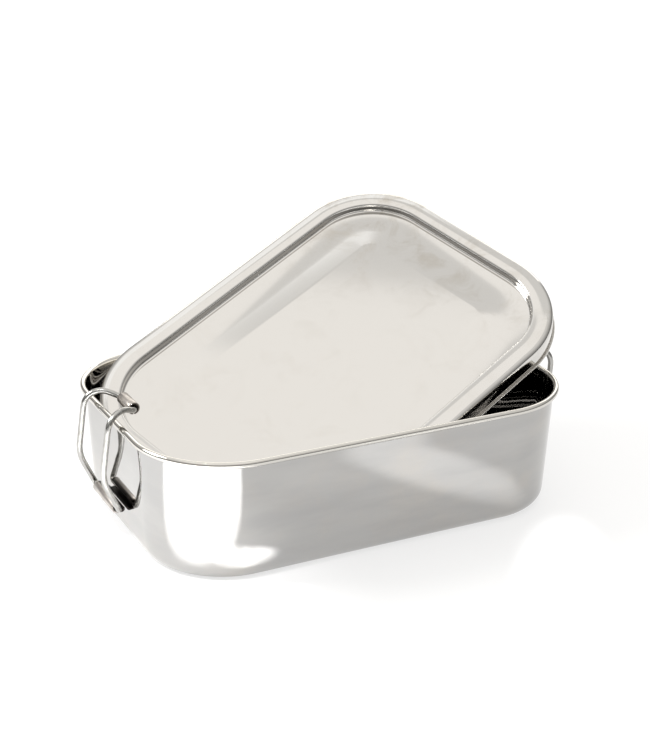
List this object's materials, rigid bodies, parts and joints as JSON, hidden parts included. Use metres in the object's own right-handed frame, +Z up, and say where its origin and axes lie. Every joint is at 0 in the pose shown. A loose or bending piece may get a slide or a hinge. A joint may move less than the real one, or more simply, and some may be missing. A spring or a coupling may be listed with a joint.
{
  "type": "lunch box",
  "caption": "Rounded rectangular steel lunch tin with a curled rim, a beaded lift-off lid lying askew in it, and sprung wire clips on the ends.",
  "frame": {"origin": "middle of the tray's flat underside", "axes": "+X along the tin towards the end whose clip leans outward, +Y across the tin towards the side where the lid stands highest, +Z up"},
  "size_m": [0.2233, 0.1632, 0.1119],
  "materials": {
    "tray_steel": "mirror polished",
    "lid_steel": "polished, slightly clouded",
    "wire_steel": "drawn and tumbled",
    "sleeve_steel": "satin",
    "strip_steel": "satin"
  },
  "bodies": {
    "tray": {"base_tray": "tray_steel", "left_latch_bracket": "strip_steel", "right_latch_bracket": "strip_steel"},
    "lid": {"lid": "lid_steel"},
    "left_bail": {"left_bail_wire": "wire_steel"},
    "right_bail": {"right_bail_wire": "wire_steel"},
    "left_sleeve": {"left_clip_sleeve": "sleeve_steel"},
    "right_sleeve": {"right_clip_sleeve": "sleeve_steel"}
  },
  "joints": [
    {"name": "lid_lift", "type": "slide", "parent": "tray", "child": "lid", "axis": [0.3, 0, 0.9539], "range_m": [0, 0.1]},
    {"name": "left_bail_swing", "type": "hinge", "parent": "tray", "child": "left_bail", "pos_m": [-0.0986, 0.0044, 0.015], "axis": [0, -1, 0], "range_deg": [-2, 99]},
    {"name": "right_bail_swing", "type": "hinge", "parent": "tray", "child": "right_bail", "pos_m": [0.0986, -0.0044, 0.015], "axis": [0, 1, 0], "range_deg": [-13, 88]},
    {"name": "left_sleeve_roll", "type": "hinge", "parent": "left_bail", "child": "left_sleeve", "pos_m": [-0.0878, 0.0044, 0.0561], "axis": [0, 1, 0], "continuous": true},
    {"name": "right_sleeve_roll", "type": "hinge", "parent": "right_bail", "child": "right_sleeve", "pos_m": [0.09584, -0.0044, 0.05741], "axis": [0, 1, 0], "continuous": true}
  ]
}
